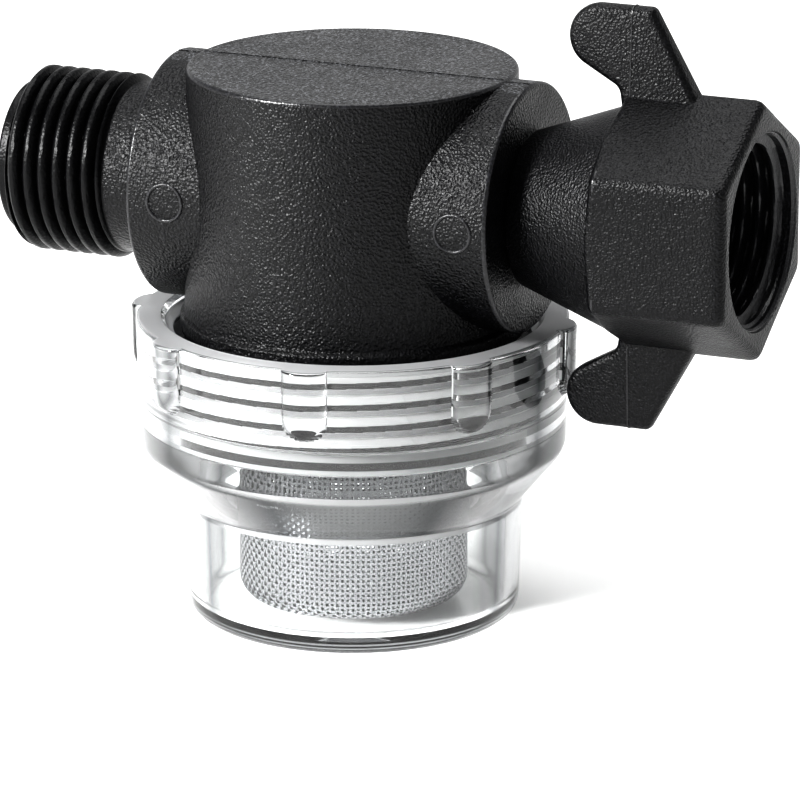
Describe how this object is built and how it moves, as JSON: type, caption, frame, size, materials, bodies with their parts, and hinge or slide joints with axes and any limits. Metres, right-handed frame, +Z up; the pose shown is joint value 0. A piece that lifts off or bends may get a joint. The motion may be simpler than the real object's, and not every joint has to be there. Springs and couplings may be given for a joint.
{
  "type": "inline water filter",
  "caption": "Inline twist-on water strainer: threaded inlet, black body, clear screw-on bowl with a woven steel screen, swivel wing nut outlet.",
  "frame": {"origin": "centre of the bowl's flat base, on which the filter stands", "axes": "+X along the pipe from the male inlet to the wing nut outlet, +Z up the bowl's axis, -Y the front"},
  "size_m": [0.0894, 0.051, 0.0736],
  "materials": {
    "body_black": "spark-eroded grain",
    "nut_black": "spark-eroded grain",
    "bowl_clear": "clear gloss",
    "seal_rubber": "moulded rubber",
    "screen_steel": "woven stainless wire",
    "ring_acetal": "natural acetal"
  },
  "bodies": {
    "housing": {"strainer_body": "body_black", "bowl_o_ring": "seal_rubber", "nut_retaining_ring": "ring_acetal", "outlet_washer": "seal_rubber"},
    "nut": {"wing_nut": "nut_black"},
    "screen": {"screen_mesh_cup": "screen_steel", "screen_rim_ring": "screen_steel"},
    "bowl": {"clear_bowl": "bowl_clear"}
  },
  "joints": [
    {"name": "wing_nut_spin", "type": "hinge", "parent": "housing", "child": "nut", "pos_m": [0.033, 0, 0.0494], "axis": [1, 0, 0], "continuous": true},
    {"name": "bowl_drop", "type": "slide", "parent": "housing", "child": "screen", "axis": [0, 0, -1], "range_m": [0, 0.0094]},
    {"name": "bowl_turn", "type": "hinge", "parent": "screen", "child": "bowl", "pos_m": [0, 0, 0.0175], "axis": [0, 0, -1], "range_deg": [0, 1350]}
  ],
  "couplings": [
    {"joint": "bowl_drop", "follows": "bowl_turn", "m_per_rad": 0.00039789}
  ]
}
